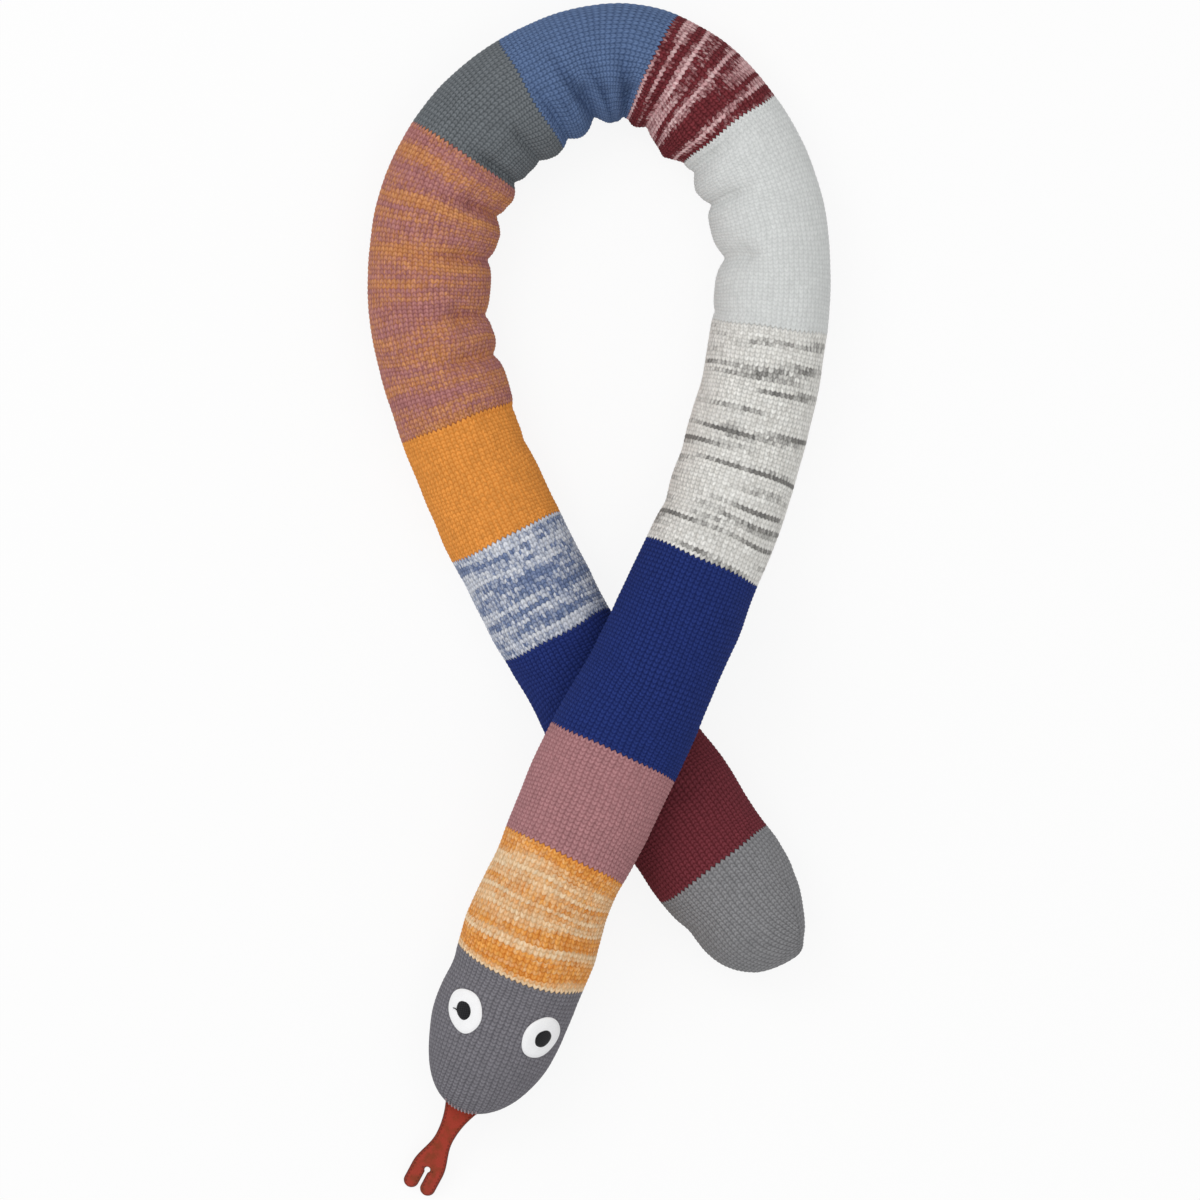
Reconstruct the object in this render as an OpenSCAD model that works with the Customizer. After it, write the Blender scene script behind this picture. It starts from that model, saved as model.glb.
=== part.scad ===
// A long stuffed snake toy of knitted stocking stitch, lying in a loop with its head end over its tail end.
// Millimetres. The belly stands on z = 0, and +Y points from the head end to the top of the loop.

/* [Body] */
// Width of the stuffed body
body_w = 86; // [60:1:110]
// Width of the head across the eyes
head_w = 98; // [70:1:120]
// Width of the tail where its colour starts
tail_w = 94; // [60:1:120]
// Height of the body, lying on its belly
body_h = 79; // [50:1:100]
// Height of the head
head_h = 84; // [55:1:110]
// Height of the tail where its colour starts
tail_h = 83; // [50:1:110]
// Length over which the nose rounds off
nose_l = 75; // [50:1:100]
// Length over which the tail end rounds off
tail_end_l = 66; // [40:1:80]
// Width of the neck at its widest, just behind the head
neck_w = 99; // [60:1:116]

/* [Cover and filling] */
// Thickness of the knitted cover
cover_t = 2.5; // [1:0.1:5]
// Slack between the cover and the filling
fill_slack = 0.3; // [0.1:0.1:1]
// Room between two colour bands, and between the ends of two stuffed lengths
band_room = 0.3; // [0.1:0.1:1]

/* [Crossing] */
// Width of both lengths where they cross, spread by their own weight
cross_w = 98; // [70:1:104]
// How much of its height the tail end loses under the head end
under_press = 0.36; // [0:0.01:0.42]
// How much of the lower half of the head end is pressed flat over the tail end
over_press = 0.32; // [0:0.01:0.42]
// Height of the room between the two lengths at the middle of the crossing, which closes at its edges
cross_room = 4; // [3.8:0.1:8]
// Distance over which the head end comes down from the crossing to the floor
head_ramp_l = 200; // [190:5:215]
// Distance over which the body behind the crossing comes down to the floor, beyond its own width
body_ramp_l = 140; // [130:5:200]

/* [Folds] */
// Width of one fold along the body
fold_w = 15; // [8:1:24]
// Depth of the folds on the inside of the bends
fold_d = 6.5; // [0:0.5:10]
// Depth of the sharp crease at the top of the loop
crease_d = 10; // [0:0.5:14]
// How far the gathered inside of the bends swells between the folds
lobe_d = 3; // [0:0.5:6]

/* [Eyes] */
// Width of a white eye patch
eye_w = 24; // [15:0.5:30]
// Length of a white eye patch
eye_l = 33; // [18:1:38]
// Thickness of a white eye patch
eye_t = 2; // [1:0.1:4]
// Width of a pupil
pupil_w = 10.5; // [6:0.5:14]
// Length of a pupil
pupil_l = 13.5; // [6:0.5:16]
// Thickness of a pupil
pupil_t = 1.2; // [0.5:0.1:3]
// Room under each patch
patch_room = 0.1; // [0.05:0.05:0.5]
// Distance from the nose to the left eye, along the head
left_eye_back = 68; // [60:1:85]
// Distance from the nose to the right eye, along the head
right_eye_back = 72; // [60:1:85]
// Distance from the middle of the head to the left eye
left_eye_out = 25; // [20:1:32]
// Distance from the middle of the head to the right eye
right_eye_out = 33; // [24:1:35]
// Lean of the left eye inwards to the nose, in degrees
left_eye_lean = 31; // [0:1:45]
// Lean of the right eye inwards to the nose, in degrees
right_eye_lean = 16; // [0:1:45]

/* [Tongue] */
// Length of the tongue, seen from above
tongue_l = 71; // [60:1:90]
// Width of the tongue where it is sewn into the mouth
tongue_root_w = 25; // [16:1:30]
// Width of the tongue at its narrowest
tongue_waist_w = 13.5; // [10:0.5:16]
// Width across the two prongs
fork_w = 24.5; // [20:0.5:34]
// Length of the tongue up to the fork
fork_at = 51; // [40:1:56]
// Width of the narrow gap between the prongs
fork_gap = 2.4; // [1:0.1:3]
// Width of the round end of that gap
notch_w = 5; // [3.2:0.2:6]
// Thickness of the tongue
tongue_t = 3; // [2:0.1:5]
// Height of the mouth above the floor
mouth_z = 30; // [20:1:40]
// Room between the tongue and the nose
mouth_room = 0.6; // [0.4:0.1:2]

/* [Hidden] */

// The middle of the body from the nose to the tail end, as it lies on the floor.
route = [[-100, -367], [-78, -316], [-56, -263], [-36, -208], [-12, -157], [13, -103], [40, -52],
    [63, 1], [86, 55], [104, 109], [118, 166], [125, 222], [121, 278], [101, 327], [65, 367],
    [12, 387], [-42, 369], [-86, 334], [-114, 284], [-122, 226], [-115, 168], [-98, 116],
    [-74, 61], [-48, 9], [-20, -44], [16, -97], [51, -145], [83, -190], [136, -261]];

// Where each colour starts, measured along the body from the nose.
orange_s = 112;
mauve_s = 200;
royal_s = 282;
white_s = 433;
pale_s = 608;
burgundy_marl_s = 757;
denim_s = 832;
slate_s = 921;
rust_s = 986;
mustard_s = 1186;
denim_marl_s = 1276;
rear_blue_s = 1355;
burgundy_s = 1462;
tail_s = 1555;

// Where the body passes over itself, measured along the body from the nose.
over_s = 288;
under_s = 1440;
over_press_l = body_w + 24;
under_press_l = body_w + 34;

// Folds on the inside of the bends, measured along the body from the nose, and the sharp crease.
fold_places = [660, 712, 751, 816, 880, 912, 948, 981, 1020, 1064, 1108, 1144, 1188];
crease_s = 838;
crease_reach = 90;
bend_from = 610;
bend_to = 1225;
lobes_from = 760;
lobes_to = 1200;
lobe_ramp_l = 24;

sides = 20;
core_sides = 14;
fold_step = 7;
plain_step = 15;
head_step = 9;
patch_step = 6;
core_step = 25;
route_steps = 12;
end_angle = 6;
end_turns = 6;
oval_sides = 28;
last = len(route) - 1;

// A smooth curve through four neighbouring points of the route, and the way it runs.
function before(k) = k > 0 ? route[k - 1] : 2 * route[0] - route[1];
function after(k) = k < last - 1 ? route[k + 2] : 2 * route[last] - route[last - 1];
function curve(p, q, r, e, t) =
    ((2 * q) + (r - p) * t + (2 * p - 5 * q + 4 * r - e) * t * t + (3 * q - p - 3 * r + e) * t * t * t) / 2;
function curve_way(p, q, r, e, t) =
    ((r - p) + 2 * (2 * p - 5 * q + 4 * r - e) * t + 3 * (3 * q - p - 3 * r + e) * t * t) / 2;
function span(u) = min(floor(u), last - 1);
function middle(u) = let (k = span(u)) curve(before(k), route[k], route[k + 1], after(k), u - k);
function way(u) =
    let (k = span(u), v = curve_way(before(k), route[k], route[k + 1], after(k), u - k)) v / norm(v);

// Length along the body against the place on the route.
steps = last * route_steps;
trail = [for (i = [0:steps]) middle(i / route_steps)];
run = [for (i = 0, s = 0; i <= steps; i = i + 1, s = i <= steps ? s + norm(trail[i] - trail[i - 1]) : s) s];
body_l = run[steps];
stations = [for (i = [0:steps]) [run[i], i / route_steps]];
function place(s) = middle(lookup(s, stations));
function heading(s) = way(lookup(s, stations));

// A smooth hump of height 1 around a place, gone at the given distance.
function hump(s, at, reach) = abs(s - at) >= reach ? 0 : (1 + cos(180 * (s - at) / reach)) / 2;

// Width and height along the stuffed body, without the rounding of its two ends.
slack = 2;
width_line = [[0, head_w], [orange_s - 10, head_w - slack], [orange_s + 22, neck_w],
    [orange_s + 52, neck_w - 2 * slack], [mauve_s - 10, neck_w - 2 * slack], [over_s, cross_w],
    [over_s + 100, body_w + 3 * slack], [white_s, body_w + slack], [pale_s, body_w - slack],
    [burgundy_marl_s, body_w - slack], [denim_s, body_w + 2 * slack], [rust_s, body_w + 2 * slack],
    [rust_s + 140, body_w + slack], [mustard_s, body_w], [rear_blue_s, body_w], [under_s + 30, cross_w],
    [tail_s, tail_w], [tail_s + 40, tail_w - 2 * slack]];
height_line = [[0, head_h], [orange_s, head_h], [royal_s, body_h], [burgundy_s, body_h], [tail_s, tail_h]];
function half_w(s) = lookup(s, width_line) / 2;
function half_h(s) = lookup(s, height_line) / 2;
function top_h(s) = half_h(s) * (1 - under_press * hump(s, under_s, under_press_l));
function low_h(s) = half_h(s) * (1 - over_press * hump(s, over_s, over_press_l));

// Height of the middle of the body: on the floor, or over the other length at the crossing.
belly = cos(180 / sides);
function floor_z(s) = low_h(s) * belly;
rise = floor_z(under_s) + top_h(under_s) + cross_room;
function lift(s) = rise * hump(s, over_s, s < over_s ? head_ramp_l : body_w + body_ramp_l);
function middle_z(s) = floor_z(s) + lift(s);
function slope(s) = atan((lift(s + 1) - lift(s - 1)) / 2);

// Share of the full section that is left where the nose and the tail end round off.
function rounding(x) = sqrt(max(0, 1 - x * x));
function end_share(s, inset) =
    s < nose_l ? rounding((nose_l - s) / (nose_l - inset))
    : s > body_l - tail_end_l ? rounding((s - body_l + tail_end_l) / (tail_end_l - inset))
    : 1;

// Depth of the folds less the swelling between them, and the greatest depth, which the filling clears.
function lobe(s) =
    lobe_d * max(0, min(1, (s - lobes_from) / lobe_ramp_l, (lobes_to - s) / lobe_ramp_l));
function folds(s) =
    fold_d * max([for (f = fold_places) exp(-pow((s - f) * 2 / fold_w, 2))])
    + crease_d * exp(-pow((s - crease_s) * 2 / fold_w, 2));
function fold_room(s) = fold_d + (crease_d - fold_d) * hump(s, crease_s, crease_reach);
function gathered(s, smooth) =
    s < bend_from || s > bend_to ? 0 : (smooth ? fold_room(s) : folds(s)) - lobe(s);

// One ring of the body. The left of the body, towards the head, is the inside of the bends.
function ring(s, inset, n, smooth) =
    let (at = place(s), h = heading(s), tilt = slope(s), share = end_share(s, inset),
        w = half_w(s) - inset, top = top_h(s) - inset, low = low_h(s) - inset, tuck = gathered(s, smooth))
    [for (k = [0:n - 1])
        let (a = -90 + (k + 0.5) * 360 / n,
            x = share * cos(a) * (w - (cos(a) > 0 ? tuck * cos(a) : 0)),
            z = share * sin(a) * (a > 0 && a < 180 ? top : low))
        [at.x - h.y * x - h.x * z * sin(tilt), at.y + h.x * x - h.y * z * sin(tilt),
            middle_z(s) + z * cos(tilt)]];

// A closed skin over a row of rings, in triangles.
module skin(rings) {
    n = len(rings[0]);
    count = len(rings);
    walls = [for (i = [0:count - 2], k = [0:n - 1])
        let (a = i * n + k, b = i * n + (k + 1) % n, c = a + n, d = b + n)
        each [[a, d, b], [a, c, d]]];
    first = [for (k = [1:n - 2]) [0, k, k + 1]];
    end = (count - 1) * n;
    final = [for (k = [1:n - 2]) [end, end + k + 1, end + k]];
    polyhedron(points = [for (r = rings) each r], faces = concat(walls, first, final), convexity = 6);
}

// Places of the rings: evenly spread, and closer together round the nose and the tail end.
function even(from, to, step) =
    let (n = max(1, ceil((to - from) / step))) [for (i = [0:n]) from + (to - from) * i / n];
function nose_places(inset) =
    [for (i = [0:end_turns]) let (a = end_angle + (90 - end_angle) * i / end_turns)
        nose_l - (nose_l - inset) * cos(a)];
function tail_places(inset) =
    [for (i = [end_turns:-1:0]) let (a = end_angle + (90 - end_angle) * i / end_turns)
        body_l - tail_end_l + (tail_end_l - inset) * cos(a)];

module tube(places, inset = 0, n = sides, smooth = false) {
    skin([for (s = places) ring(s, inset, n, smooth)]);
}

// Rings of a length of filling, and those of them that lie inside a colour band.
room = band_room / 2;
function core_places(from, to) = even(from + room, to - room, core_step);
function lining_places(from, to, core_from, core_to) =
    [for (s = concat([core_from - 1], core_places(core_from, core_to), [core_to + 1]))
        if (s > from - core_step - 1 && s < to + core_step + 1) s];

// A length of knitted cover between two colour changes, open at both ends, round a length of filling.
module band(from, to, core_from, core_to) {
    bent = to > bend_from && from < bend_to;
    difference() {
        tube(even(from + room, to - room, bent ? fold_step : plain_step));
        tube(lining_places(from, to, core_from, core_to), cover_t, core_sides, true);
    }
}

module filling(from, to) {
    color("ivory") tube(core_places(from, to), cover_t + fill_slack, core_sides, true);
}

module head_cover() {
    color("#717076") difference() {
        tube(concat(nose_places(0), even(nose_l + head_step, orange_s - room, head_step)));
        tube(concat(nose_places(cover_t), [orange_s + 1]), cover_t, core_sides, true);
    }
}

module tail_cover() {
    color("#777779") difference() {
        tube(concat([tail_s + room], tail_places(0)));
        tube(concat([tail_s - 1], tail_places(cover_t)), cover_t, core_sides, true);
    }
}

module orange_marl_band() { color("#D5AC81") band(orange_s, mauve_s, orange_s, mauve_s); }
module mauve_band() { color("#9D6E71") band(mauve_s, royal_s, mauve_s, royal_s); }
module royal_blue_band() { color("#253066") band(royal_s, white_s, royal_s, pale_s); }
module white_marl_band() { color("#C6C5C1") band(white_s, pale_s, royal_s, pale_s); }
module pale_grey_band() { color("#CACCCB") band(pale_s, burgundy_marl_s, pale_s, burgundy_marl_s); }
module loop_band(from, to) { band(from, to, burgundy_marl_s, burgundy_s); }
module burgundy_marl_band() { color("#885E60") loop_band(burgundy_marl_s, denim_s); }
module denim_band() { color("#4C6082") loop_band(denim_s, slate_s); }
module slate_band() { color("#62676A") loop_band(slate_s, rust_s); }
module rust_marl_band() { color("#A77161") loop_band(rust_s, mustard_s); }
module mustard_band() { color("#D48A3F") loop_band(mustard_s, denim_marl_s); }
module denim_marl_band() { color("#8991A6") loop_band(denim_marl_s, rear_blue_s); }
module rear_blue_band() { color("#202858") loop_band(rear_blue_s, burgundy_s); }
module burgundy_band() { color("#672D33") band(burgundy_s, tail_s, burgundy_s, tail_s); }

module neck_filling() { filling(orange_s, mauve_s); }
module throat_filling() { filling(mauve_s, royal_s); }
module front_filling() { filling(royal_s, pale_s); }
module shoulder_filling() { filling(pale_s, burgundy_marl_s); }
module loop_filling() { filling(burgundy_marl_s, burgundy_s); }
module rump_filling() { filling(burgundy_s, tail_s); }

module head_filling() {
    inset = cover_t + fill_slack;
    color("ivory") tube(concat(nose_places(inset), [orange_s - room]), inset, core_sides, true);
}

module tail_filling() {
    inset = cover_t + fill_slack;
    color("ivory") tube(concat([tail_s + room], tail_places(inset)), inset, core_sides, true);
}

// The head's own shape round an eye, grown by the given amount and longer than the eye by a margin.
module head_layer(back, grow, margin) {
    reach = eye_l / 2 + margin;
    tube(even(back - reach, back + reach, patch_step), -grow);
}

// A patch laid on the head: what an oval cuts out of a layer between two heights over the head.
patch_margin = 4;
module patch(eye, w, l, from, to) {
    at = place(eye[0]);
    h = heading(eye[0]);
    difference() {
        intersection() {
            head_layer(eye[0], to, patch_margin);
            translate([at.x - h.y * eye[1], at.y + h.x * eye[1], middle_z(eye[0])])
                rotate([0, 0, atan2(h.y, h.x) + eye[2]])
                    linear_extrude(head_h) scale([l / 2, w / 2]) circle(r = 1, $fn = oval_sides);
        }
        head_layer(eye[0], from, patch_margin + 2);
    }
}

eye_top = patch_room + eye_t;
pupil_low = eye_top + patch_room;
// Each eye: its place along the head, how far to the left of the middle it sits, and its turn.
left_eye = [left_eye_back, left_eye_out, left_eye_lean];
right_eye = [right_eye_back, -right_eye_out, -right_eye_lean];
module eye_white(eye) { color("#E9E9EA") patch(eye, eye_w, eye_l, patch_room, eye_top); }
module pupil(eye) { color("#2D2D2F") patch(eye, pupil_w, pupil_l, pupil_low, pupil_low + pupil_t); }
module left_eye_white() { eye_white(left_eye); }
module right_eye_white() { eye_white(right_eye); }
module left_pupil() { pupil(left_eye); }
module right_pupil() { pupil(right_eye); }

// The outline of the forked tongue from above, root at the origin, pointing along +X.
tongue_in = 12;
waist_at = 26;
tongue_step = 4.5;
prong_turns = 12;
notch_turns = 8;
prong_w = (fork_w - fork_gap) / 2;
prong_y = (fork_w - prong_w) / 2;
prong_from = fork_at + notch_w / 2;
function flare(x) = 1 - hump(x, waist_at, prong_from - waist_at);
function tongue_half_w(x) =
    x < waist_at ? (tongue_waist_w + (tongue_root_w - tongue_waist_w) * pow(1 - x / waist_at, 2)) / 2
    : (tongue_waist_w + (fork_w - tongue_waist_w) * flare(x)) / 2;
function arc(x, y, r, from, to, n) =
    [for (i = [0:n]) let (a = from + (to - from) * i / n) [x + r * cos(a), y + r * sin(a)]];
module tongue_outline() {
    side_edge = [for (x = even(0, prong_from, tongue_step)) [x, tongue_half_w(x)]];
    prong_tip = arc(tongue_l - prong_w / 2, prong_y, prong_w / 2, 90, -90, prong_turns);
    notch = arc(prong_from, 0, notch_w / 2, asin(fork_gap / notch_w), 180, notch_turns);
    half = concat([[-tongue_in, tongue_root_w / 2]], side_edge, prong_tip, notch);
    other_half = [for (i = [len(half) - 2:-1:0]) [half[i].x, -half[i].y]];
    polygon(concat(half, other_half));
}

// The tongue leaves the mouth level and hangs down towards the floor.
tip_z = 3;
droop_power = 1.5;
function droop(x) = mouth_z - (mouth_z - tip_z) * pow(max(0, x) / tongue_l, droop_power);
module tongue_side() {
    xs = concat([-tongue_in], even(0, tongue_l, tongue_step));
    polygon(concat([for (x = xs) [x, droop(x) - tongue_t / 2]],
        [for (i = [len(xs) - 1:-1:0]) [xs[i], droop(xs[i]) + tongue_t / 2]]));
}

mouth_s = 2.5;
tongue_turn = 6;
module tongue() {
    at = place(mouth_s);
    h = heading(mouth_s);
    color("#8C4132") difference() {
        translate([at.x, at.y, 0]) rotate([0, 0, atan2(h.y, h.x) + 180 - tongue_turn]) intersection() {
            linear_extrude(head_h) tongue_outline();
            translate([0, fork_w]) rotate([90, 0, 0]) linear_extrude(2 * fork_w) tongue_side();
        }
        tube(nose_places(-mouth_room), -mouth_room);
    }
}

head_cover();
orange_marl_band();
mauve_band();
royal_blue_band();
white_marl_band();
pale_grey_band();
burgundy_marl_band();
denim_band();
slate_band();
rust_marl_band();
mustard_band();
denim_marl_band();
rear_blue_band();
burgundy_band();
tail_cover();
left_eye_white();
right_eye_white();
left_pupil();
right_pupil();
tongue();
head_filling();
neck_filling();
throat_filling();
front_filling();
shoulder_filling();
loop_filling();
rump_filling();
tail_filling();
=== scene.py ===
# A long stuffed snake toy, knitted in bands of colour, lying in a loop with its head end over its
# tail end. Sizes of the toy are in millimetres. Meshes, the camera and the lights are in metres.
import math

import bmesh
import bpy
import numpy as np
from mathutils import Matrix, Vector


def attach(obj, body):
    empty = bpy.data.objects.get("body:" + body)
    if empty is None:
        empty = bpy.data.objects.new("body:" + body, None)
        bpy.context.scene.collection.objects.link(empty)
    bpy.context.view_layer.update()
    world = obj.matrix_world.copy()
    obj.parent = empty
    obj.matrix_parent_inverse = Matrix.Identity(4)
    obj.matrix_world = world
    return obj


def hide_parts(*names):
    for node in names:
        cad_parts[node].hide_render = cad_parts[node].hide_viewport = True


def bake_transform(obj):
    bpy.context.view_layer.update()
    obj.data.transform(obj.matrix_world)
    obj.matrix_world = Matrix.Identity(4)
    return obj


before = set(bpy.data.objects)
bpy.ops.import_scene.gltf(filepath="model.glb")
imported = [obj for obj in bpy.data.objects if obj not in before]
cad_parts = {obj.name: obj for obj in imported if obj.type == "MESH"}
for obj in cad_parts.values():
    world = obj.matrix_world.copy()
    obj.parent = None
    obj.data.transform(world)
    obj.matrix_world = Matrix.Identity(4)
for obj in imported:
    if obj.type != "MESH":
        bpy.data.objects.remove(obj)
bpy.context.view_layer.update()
MM = 0.001

# The middle of the body from nose to tail end, as it lies on the floor, as in the CAD source.
ROUTE = np.array([
    (-100, -367), (-78, -316), (-56, -263), (-36, -208), (-12, -157), (13, -103), (40, -52),
    (63, 1), (86, 55), (104, 109), (118, 166), (125, 222), (121, 278), (101, 327), (65, 367),
    (12, 387), (-42, 369), (-86, 334), (-114, 284), (-122, 226), (-115, 168), (-98, 116),
    (-74, 61), (-48, 9), (-20, -44), (16, -97), (51, -145), (83, -190), (136, -261)], float)
ROUTE_STEPS = 12

# Where each colour starts, measured along the body from the nose, and the height of one course.
STARTS = {
    "head_cover": 0, "orange_marl_band": 112, "mauve_band": 200, "royal_blue_band": 282,
    "white_marl_band": 433, "pale_grey_band": 608, "burgundy_marl_band": 757, "denim_band": 832,
    "slate_band": 921, "rust_marl_band": 986, "mustard_band": 1186, "denim_marl_band": 1276,
    "rear_blue_band": 1355, "burgundy_band": 1462, "tail_cover": 1555}
NAMES = list(STARTS)
COURSE = 3

# Width and height along the body: (place, full size).
WIDTHS = [
    (0, 98), (102, 96), (134, 99), (164, 95), (190, 95), (288, 98), (388, 92), (433, 88),
    (608, 84), (757, 84), (832, 90), (986, 90), (1126, 88), (1186, 86), (1355, 86), (1470, 98),
    (1555, 94), (1595, 90)]
HEIGHTS = [(0, 84), (112, 84), (282, 79), (1462, 79), (1555, 83)]
# The lengths over which the nose and the tail end round off.
NOSE = 75
TAIL_END = 66
# The tail's tip is drawn to the inside of the bends: how far, and over what length. Before it the
# body leans the other way: how far, how far from the end, and its reach.
TIP_SHIFT, TIP_REACH = 7, 9
BACK_SHIFT, BACK_FROM_END, BACK_REACH = 2, 24, 26

# The crossing: where the head end lies over the tail end, how much of its half height each of them
# loses there, and how far from it.
OVER, UNDER = 288, 1440
OVER_PRESS, UNDER_PRESS = 0.32, 0.36
OVER_REACH, UNDER_REACH = 110, 120
# How far before and behind the crossing the head end is back on the floor, and the room there
# between the two.
HEAD_RAMP, BODY_RAMP = 200, 226
CROSS_ROOM = 4
# The underside is flat, at this share of its half height.
BELLY = math.cos(math.radians(9))

# Where the filling gives way on the inside of the bends: (place, depth, width, how far over the
# top). A negative depth is a swelling, here and in the other lists.
FOLDS = [
    (616, 1.6, 5, 0.3), (660, 7.8, 10, 0.5), (710, 5.8, 6, 0.7), (728, -1.6, 8, 0.3),
    (745, 4.8, 7, 0.9), (757, 2.4, 5, 0.6), (774, -4, 11, 0.3), (812, 6.6, 9, 0.6),
    (833, 5, 8, 0.8), (839, 3.5, 4, 1.1), (852, 5.2, 44, 0.3), (883, 9.4, 9, 0.9),
    (912, 4.8, 6, 0.8), (930, -1, 8, 0.3), (947, 3.2, 6, 0.8), (964, 3.2, 22, 0.3),
    (981, 5.8, 7, 0.9), (1006, 1.6, 6, 0.3), (1018, 6.4, 8, 0.8), (1037, -1.2, 7, 0.3),
    (1062, 4.6, 7, 0.8), (1102, 3.6, 46, 0.3), (1110, 4.4, 7, 0.8), (1122, 0.8, 6, 0.3),
    (1143, 4.6, 6.5, 0.7), (1190, 2.6, 8, 0.5), (1216, 1.8, 10, 0.3)]
# The share of a fold's depth by which the top sinks beside it.
FOLD_SINK = 0.25
# Between the folds the inside swells into lobes: from where to where, how far, and how soon.
LOBES = (762, 1200)
LOBE_DEPTH = 3
LOBE_RAMP = 16
# The creases that the folds draw over the top: (place, depth, width, how far over the top).
CREASES = [
    (660, 4, 7, 0.7), (711, 4.5, 5, 0.9), (748, 6.5, 4, 1.1), (815, 5, 5, 0.9),
    (840, 18, 4.5, 1.2), (862, 10, 4, 1.1), (883, 16, 4.5, 1.25), (898, 5, 3.5, 1),
    (912, 7, 4, 1.1), (948, 5, 4, 0.9), (981, 8, 4, 1.1), (1019, 7, 4, 1), (1064, 6, 4, 1),
    (1110, 6, 4.5, 0.9), (1144, 6, 4.5, 0.8), (1188, 3, 4, 0.7)]
# Round the loop's far end the creases slant along the body: how far between the inside and the
# top, where, and over what length it fades.
CREASE_SLANT, CREASE_SLANT_AT, CREASE_SLANT_FADE = 12, 875, 70

# Slow hollows of the two sides: (place, depth, width, side). Side 1 is the inside of the bends.
HOLLOWS = [
    (32, 2.4, 24, 1), (96, 1.4, 12, 1), (184, 2, 18, 1), (250, -1.4, 26, 1), (464, 2.2, 11, 1),
    (506, 0.8, 10, 1), (566, 1, 14, 1), (1500, -1.8, 20, 1), (1568, -1.6, 14, 1),
    (1596, 1, 8, 1), (182, 1.5, 26, -1), (352, 3, 30, -1), (420, 1.2, 18, -1),
    (864, 2, 24, -1), (1156, 2.2, 26, -1), (1212, 1.6, 26, -1), (1318, 0.9, 50, -1),
    (1384, 4, 26, -1), (1528, 1.4, 12, -1), (1583, 2.6, 10, -1)]

# How far the uneven filling lifts the cover, and how near to the crossing it is pressed even.
UNEVEN_FILLING, FIRM_REACH = 0.35, 90

# The head's colour change is bowed to the nose: how far, where, and over what length it fades.
BOW, BOW_AT, BOW_FADE = 9, 112, 34
# The denim band's first course is slanted: how far its two sides are apart, which side the pivot
# is nearer to, where the course is, and over what length the slant fades.
SLANT, SLANT_PIVOT, SLANT_AT, SLANT_FADE = 9, 0.4, 832, 32
# How far the courses stray from straight rounds, and how many wales a wale strays from straight.
COURSE_DRIFT = 1.3
WALE_DRIFT = 0.11

# The knitting: wales run along the body, courses round it, and each stitch is a V of two legs. The
# mesh has some columns of points to a wale and some rows to a course.
WALES = 68
COLUMNS = 4
ROWS = 3
# Depth of the gaps, and how much higher or lower a stitch stands than the next.
RELIEF = 0.62
UNEVEN = 0.14
# Height of the yarn between two wales, between two courses and where the legs of a V meet, as
# shares of its height on a leg.
WALE_GAP, COURSE_GAP, LEG_GAP = 0.35, 0.4, 0.45
# How far the point of a V leads its ends, and by what share it leads further at a colour change.
CHEVRON = 1.2
TEETH = 0.9
# The closed ends: half their height, how near a stitch comes to the tip along the profile, the
# yarn's height on a line of decreases, the area under which a face is left out, and how many wales
# the tail's lines of decreases are turned.
END_RISE, TIP_GAP, DECREASE_HEIGHT, SLIVER, TAIL_TURN = 40, 0.4, 0.8, 0.004, 7
# How many rows inside a tube the point lies that closes its end.
HUB_DEPTH = 3


# Form of the body

def route_table():
    """The route's points with one more at each end, its small steps and the length up to each."""
    points = np.vstack([2 * ROUTE[0] - ROUTE[1], ROUTE, 2 * ROUTE[-1] - ROUTE[-2]])
    spans = len(ROUTE) - 1
    u = np.linspace(0, spans, spans * ROUTE_STEPS + 1)
    at = route_at(points, u)[0]
    length = np.concatenate([[0], np.cumsum(np.linalg.norm(np.diff(at, axis=0), axis=1))])
    return points, u, length


def route_at(points, u):
    """Place and unit direction on the smooth curve through the points."""
    k = np.minimum(np.floor(u).astype(int), len(points) - 4)
    t = (u - k)[..., None]
    p, q, r, e = points[k], points[k + 1], points[k + 2], points[k + 3]
    slope = r - p
    bend = 2 * p - 5 * q + 4 * r - e
    twist = 3 * q - p - 3 * r + e
    at = (2 * q + slope * t + bend * t ** 2 + twist * t ** 3) / 2
    way = (slope + 2 * bend * t + 3 * twist * t ** 2) / 2
    return at, way / np.linalg.norm(way, axis=-1, keepdims=True)


POINTS, STEPS, LENGTHS = route_table()
BODY = LENGTHS[-1]


def end_of(name):
    """Where a colour ends, which is where the next one starts."""
    return STARTS[NAMES[NAMES.index(name) + 1]]


def place(s):
    """Place and direction of the body's middle at a length from the nose."""
    return route_at(POINTS, np.interp(s, LENGTHS, STEPS))


def hump(s, at, reach):
    """A smooth hump of height 1 around a place, gone at the given distance."""
    return np.where(np.abs(s - at) < reach, (1 + np.cos(np.pi * (s - at) / reach)) / 2, 0)


def bell(s, at, wide):
    """A bell curve of height 1 around a place."""
    return np.exp(-((s - at) / wide) ** 2)


def along(s, line):
    """Half of a size that is given at some places along the body."""
    xs, ys = zip(*line)
    return np.interp(s, xs, ys) / 2


def top_height(s):
    return along(s, HEIGHTS) * (1 - UNDER_PRESS * hump(s, UNDER, UNDER_REACH))


def low_height(s):
    return along(s, HEIGHTS) * (1 - OVER_PRESS * hump(s, OVER, OVER_REACH))


def half_height(s, up):
    """Height of the section above its middle where up is positive, and below it elsewhere."""
    return np.where(up > 0, top_height(s), low_height(s))


RISE = float(low_height(UNDER) * BELLY + top_height(UNDER) + CROSS_ROOM)


def lift(s):
    """How far the body is off the floor where it climbs over its tail end."""
    return RISE * hump(s, OVER, np.where(s < OVER, HEAD_RAMP, BODY_RAMP))


def middle_height(s):
    return low_height(s) * BELLY + lift(s)


def tilt_at(s):
    return np.arctan((lift(s + 1) - lift(s - 1)) / 2)


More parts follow.
